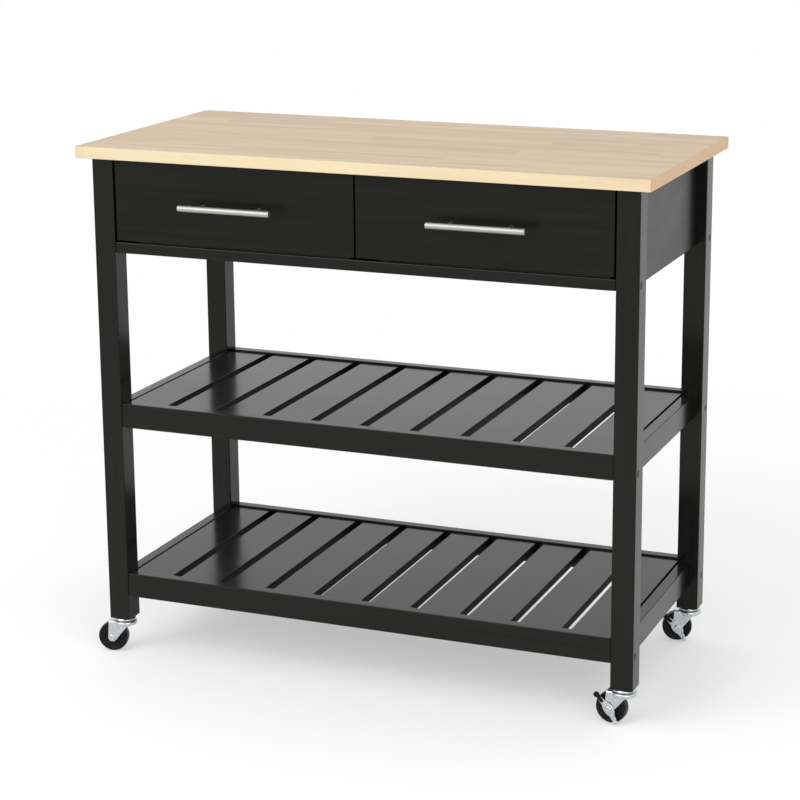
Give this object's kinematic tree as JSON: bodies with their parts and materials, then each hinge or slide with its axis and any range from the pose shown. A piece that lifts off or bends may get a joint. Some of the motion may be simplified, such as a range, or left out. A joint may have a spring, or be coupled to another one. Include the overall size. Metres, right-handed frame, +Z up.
{
  "type": "kitchen cart",
  "caption": "Rolling kitchen cart with a butcher block top, drawers with bar pulls, slatted shelves between square black legs, and swivel casters, some with brake levers.",
  "frame": {"origin": "on the floor, under the middle of the top across its length and under the middle of the whole depth from the bar pulls to the rear edge of the top", "axes": "+Z up, +X to the right of a person facing the drawers, -Y out of the drawer fronts"},
  "size_m": [0.9474, 0.4654, 0.85],
  "materials": {
    "butcher_block": "satin lacquer over pale edge-glued staves",
    "black_paint": "semi-gloss black paint on wood",
    "pale_wood": "unpainted, lightly sealed",
    "brushed_steel": "brushed nickel colour",
    "zinc_plate": "bright zinc plate",
    "black_wheel": "moulded black"
  },
  "bodies": {
    "cart_frame": {"table_top": "butcher_block", "leg_front_left": "black_paint", "leg_front_right": "black_paint", "leg_rear_left": "black_paint", "leg_rear_right": "black_paint", "side_apron_left": "black_paint", "side_apron_right": "black_paint", "rear_apron": "black_paint", "drawer_rail": "black_paint", "drawer_divider": "black_paint", "middle_shelf_front_rail": "black_paint", "middle_shelf_rear_rail": "black_paint", "middle_shelf_left_rail": "black_paint", "middle_shelf_right_rail": "black_paint", "middle_shelf_slat_1": "black_paint", "middle_shelf_slat_2": "black_paint", "middle_shelf_slat_3": "black_paint", "middle_shelf_slat_4": "black_paint", "middle_shelf_slat_5": "black_paint", "middle_shelf_slat_6": "black_paint", "middle_shelf_slat_7": "black_paint", "middle_shelf_slat_8": "black_paint", "middle_shelf_slat_9": "black_paint", "middle_shelf_slat_10": "black_paint", "lower_shelf_front_rail": "black_paint", "lower_shelf_rear_rail": "black_paint", "lower_shelf_left_rail": "black_paint", "lower_shelf_right_rail": "black_paint", "lower_shelf_slat_1": "black_paint", "lower_shelf_slat_2": "black_paint", "lower_shelf_slat_3": "black_paint", "lower_shelf_slat_4": "black_paint", "lower_shelf_slat_5": "black_paint", "lower_shelf_slat_6": "black_paint", "lower_shelf_slat_7": "black_paint", "lower_shelf_slat_8": "black_paint", "lower_shelf_slat_9": "black_paint", "lower_shelf_slat_10": "black_paint", "caster_stem_front_left": "zinc_plate", "caster_stem_front_right": "zinc_plate", "caster_stem_rear_left": "zinc_plate", "caster_stem_rear_right": "zinc_plate"},
    "drawer_left": {"drawer_front_left": "black_paint", "drawer_box_left": "pale_wood", "drawer_bottom_left": "pale_wood", "pull_left": "brushed_steel"},
    "drawer_right": {"drawer_front_right": "black_paint", "drawer_box_right": "pale_wood", "drawer_bottom_right": "pale_wood", "pull_right": "brushed_steel"},
    "fork_front_left": {"caster_fork_front_left": "zinc_plate"},
    "wheel_front_left": {"caster_wheel_front_left": "black_wheel"},
    "fork_front_right": {"caster_fork_front_right": "zinc_plate"},
    "wheel_front_right": {"caster_wheel_front_right": "black_wheel"},
    "brake_front_right": {"brake_lever_front_right": "zinc_plate"},
    "fork_rear_left": {"caster_fork_rear_left": "zinc_plate"},
    "wheel_rear_left": {"caster_wheel_rear_left": "black_wheel"},
    "fork_rear_right": {"caster_fork_rear_right": "zinc_plate"},
    "wheel_rear_right": {"caster_wheel_rear_right": "black_wheel"},
    "brake_rear_right": {"brake_lever_rear_right": "zinc_plate"}
  },
  "joints": [
    {"name": "drawer_slide_left", "type": "slide", "parent": "cart_frame", "child": "drawer_left", "axis": [0, -1, 0], "range_m": [0, 0.28]},
    {"name": "drawer_slide_right", "type": "slide", "parent": "cart_frame", "child": "drawer_right", "axis": [0, -1, 0], "range_m": [0, 0.28]},
    {"name": "swivel_front_left", "type": "hinge", "parent": "cart_frame", "child": "fork_front_left", "pos_m": [-0.432, -0.18125, 0.052], "axis": [0, 0, 1], "continuous": true},
    {"name": "roll_front_left", "type": "hinge", "parent": "fork_front_left", "child": "wheel_front_left", "pos_m": [-0.45141, -0.18609, 0.025], "axis": [0.2419, -0.9703, 0], "continuous": true},
    {"name": "swivel_front_right", "type": "hinge", "parent": "cart_frame", "child": "fork_front_right", "pos_m": [0.432, -0.18125, 0.052], "axis": [0, 0, 1], "continuous": true},
    {"name": "roll_front_right", "type": "hinge", "parent": "fork_front_right", "child": "wheel_front_right", "pos_m": [0.41215, -0.17881, 0.025], "axis": [-0.1219, -0.9925, 0], "continuous": true},
    {"name": "brake_front_right_press", "type": "hinge", "parent": "fork_front_right", "child": "brake_front_right", "pos_m": [0.41215, -0.17881, 0.025], "axis": [-0.1219, -0.9925, 0], "range_deg": [0, 25]},
    {"name": "swivel_rear_left", "type": "hinge", "parent": "cart_frame", "child": "fork_rear_left", "pos_m": [-0.432, 0.19675, 0.052], "axis": [0, 0, 1], "continuous": true},
    {"name": "roll_rear_left", "type": "hinge", "parent": "fork_rear_left", "child": "wheel_rear_left", "pos_m": [-0.45192, 0.19501, 0.025], "axis": [0.0872, -0.9962, 0], "continuous": true},
    {"name": "swivel_rear_right", "type": "hinge", "parent": "cart_frame", "child": "fork_rear_right", "pos_m": [0.432, 0.19675, 0.052], "axis": [0, 0, 1], "continuous": true},
    {"name": "roll_rear_right", "type": "hinge", "parent": "fork_rear_right", "child": "wheel_rear_right", "pos_m": [0.41278, 0.19124, 0.025], "axis": [0.2756, -0.9613, 0], "continuous": true},
    {"name": "brake_rear_right_press", "type": "hinge", "parent": "fork_rear_right", "child": "brake_rear_right", "pos_m": [0.41278, 0.19124, 0.025], "axis": [0.2756, -0.9613, 0], "range_deg": [0, 25]}
  ]
}
